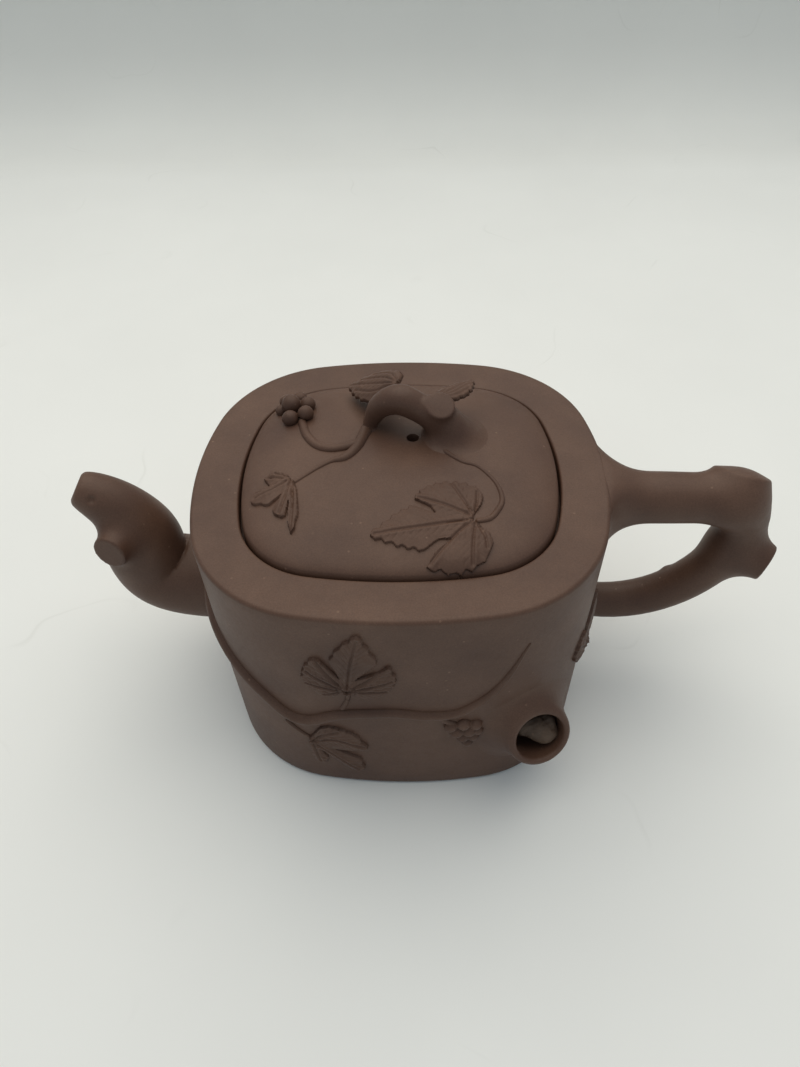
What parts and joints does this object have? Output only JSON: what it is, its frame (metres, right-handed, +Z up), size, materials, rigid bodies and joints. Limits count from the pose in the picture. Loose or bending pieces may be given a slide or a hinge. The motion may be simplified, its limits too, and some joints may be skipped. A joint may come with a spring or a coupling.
{
  "type": "clay teapot",
  "caption": "Four-sided round-cornered clay teapot with a bent trunk spout, branch handle, grapevine relief and a loose domed lid, for brewing and pouring tea.",
  "frame": {"origin": "middle of the flat base, on the table", "axes": "+Z up, +X towards the handle with the spout at -X, -Y towards the face with the vine"},
  "size_m": [0.1816, 0.0967, 0.0914],
  "materials": {
    "pot_clay": "fine unglazed brown clay, satin",
    "relief_clay": "same clay, worked relief",
    "figure_clay": "paler rough clay"
  },
  "bodies": {
    "pot": {"base_plate": "pot_clay", "body_wall": "pot_clay", "shoulder_plate": "pot_clay", "lid_seat": "pot_clay", "spout": "pot_clay", "spout_twig_stub": "pot_clay", "spout_strainer": "pot_clay", "handle": "pot_clay", "handle_upper_knot": "pot_clay", "handle_lower_knot": "pot_clay", "main_vine": "relief_clay", "vine_leaf_upper": "relief_clay", "vine_leaf_lower": "relief_clay", "side_leaf": "relief_clay", "grape_bunch_front": "relief_clay", "knothole_collar": "pot_clay", "hollow_figure": "figure_clay"},
    "lid": {"lid_plate": "pot_clay", "lid_flange": "pot_clay", "knob_branch": "pot_clay", "knob_cut_stub": "pot_clay", "lid_vine": "relief_clay", "grape_stalk": "relief_clay", "lid_tendril": "relief_clay", "lid_leaf_front": "relief_clay", "lid_leaf_left": "relief_clay", "lid_grape_bunch": "relief_clay", "lid_leaf_back_left": "relief_clay", "lid_leaf_back_right": "relief_clay"}
  },
  "joints": [
    {"name": "lid_lift", "type": "slide", "parent": "pot", "child": "lid", "axis": [0, 0, 1], "range_m": [0, 0.06]}
  ]
}
